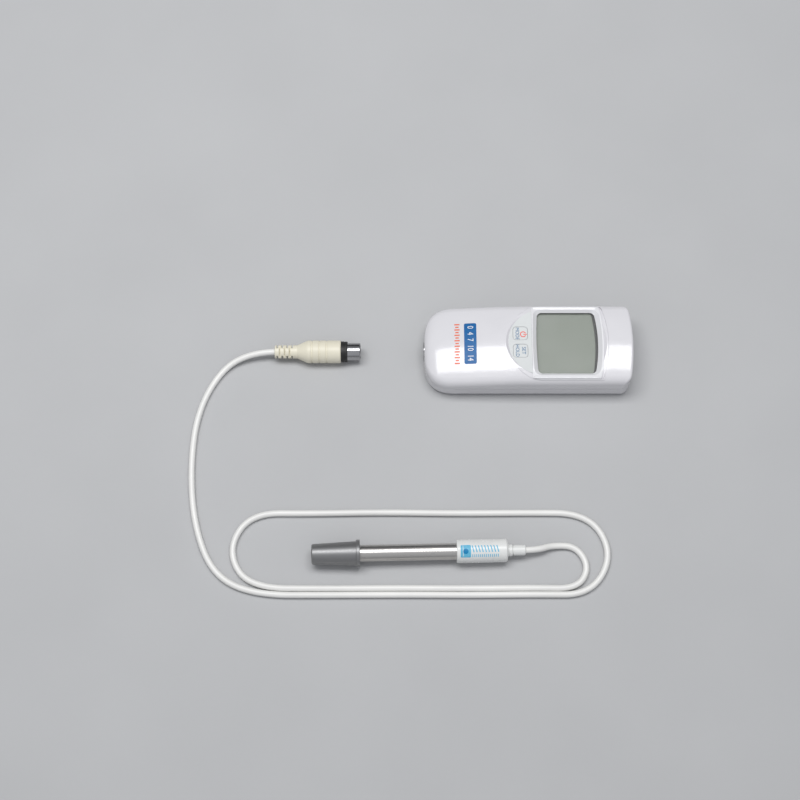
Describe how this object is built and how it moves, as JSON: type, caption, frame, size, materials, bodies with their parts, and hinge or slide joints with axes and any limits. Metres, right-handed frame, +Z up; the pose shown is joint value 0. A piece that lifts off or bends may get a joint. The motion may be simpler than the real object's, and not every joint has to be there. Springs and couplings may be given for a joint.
{
  "type": "digital ph meter",
  "caption": "Handheld pH meter with a display, two keys and a probe socket, and its plug-in electrode on a cable with a protective cap.",
  "frame": {"origin": "centre of the meter's flat back face, on the surface that everything lies on", "axes": "+X along the meter from the probe socket to the display end, +Y across the meter away from the electrode, +Z up out of the display"},
  "size_m": [0.3274, 0.218, 0.03],
  "materials": {
    "housing_white": "glossy moulded ABS",
    "keypad_grey": "textured film",
    "window_clear": "clear hard plastic",
    "black_plastic": "matt",
    "lcd_grey": "reflective display glass",
    "elastomer": "soft",
    "board_green": "solder mask",
    "chip_black": "moulded",
    "screw_steel": "zinc plated",
    "battery_skin": "printed sleeve on a steel can",
    "spring_steel": "nickel plated",
    "seal_rubber": "soft",
    "nickel": "nickel plated",
    "gold_pin": "plated contact",
    "grip_white": "satin moulding",
    "titanium": "polished titanium",
    "electrode_glass": "clear glass",
    "junction_white": "porous plug",
    "silver_wire": "silver wire",
    "cap_grey": "translucent grey polyethylene",
    "cable_white": "satin cable jacket",
    "label_blue": "printed film"
  },
  "bodies": {
    "meter": {"front_shell": "housing_white", "rear_shell": "housing_white", "housing_gasket": "seal_rubber", "keypad_overlay": "keypad_grey", "display_bezel": "housing_white", "lcd_window": "window_clear", "lcd_gasket": "black_plastic", "lcd_glass": "lcd_grey", "lcd_holder": "black_plastic", "zebra_strips": "elastomer", "circuit_board": "board_green", "board_chips": "chip_black", "power_switch": "chip_black", "set_switch": "chip_black", "housing_screws": "screw_steel", "board_screws": "screw_steel", "battery_1": "battery_skin", "battery_2": "battery_skin", "battery_3": "battery_skin", "battery_springs": "spring_steel", "battery_contacts": "spring_steel", "battery_cover": "housing_white", "battery_cover_gasket": "seal_rubber", "battery_cover_screws": "screw_steel", "socket_shell": "nickel", "socket_insert": "black_plastic", "socket_base": "black_plastic", "socket_contacts": "gold_pin"},
    "power_key": {"power_key": "keypad_grey"},
    "set_key": {"set_key": "keypad_grey"},
    "probe_lead": {"plug_shell": "nickel", "plug_insulator": "black_plastic", "plug_pins": "gold_pin", "plug_ring": "seal_rubber", "plug_grip": "grip_white", "electrode_tube": "titanium", "sensing_glass": "electrode_glass", "reference_junction": "junction_white", "temperature_sensor": "black_plastic", "reference_wire": "silver_wire", "electrode_handle": "grip_white", "handle_label": "label_blue", "amplifier_board": "board_green", "electrode_strain_relief": "grip_white", "cable": "cable_white"},
    "protective_cap": {"protective_cap": "cap_grey"}
  },
  "joints": [
    {"name": "plug_insertion", "type": "slide", "parent": "meter", "child": "probe_lead", "axis": [1, 0, 0], "range_m": [0, 0.057]},
    {"name": "power_key_press", "type": "slide", "parent": "meter", "child": "power_key", "axis": [0, 0, -1], "range_m": [0, 0.0006], "stiffness_N_per_m": 600},
    {"name": "set_key_press", "type": "slide", "parent": "meter", "child": "set_key", "axis": [0, 0, -1], "range_m": [0, 0.0006], "stiffness_N_per_m": 600},
    {"name": "cap_slide", "type": "slide", "parent": "probe_lead", "child": "protective_cap", "axis": [-0.9996, -0.0244, 0.014], "range_m": [0, 0.04]}
  ]
}
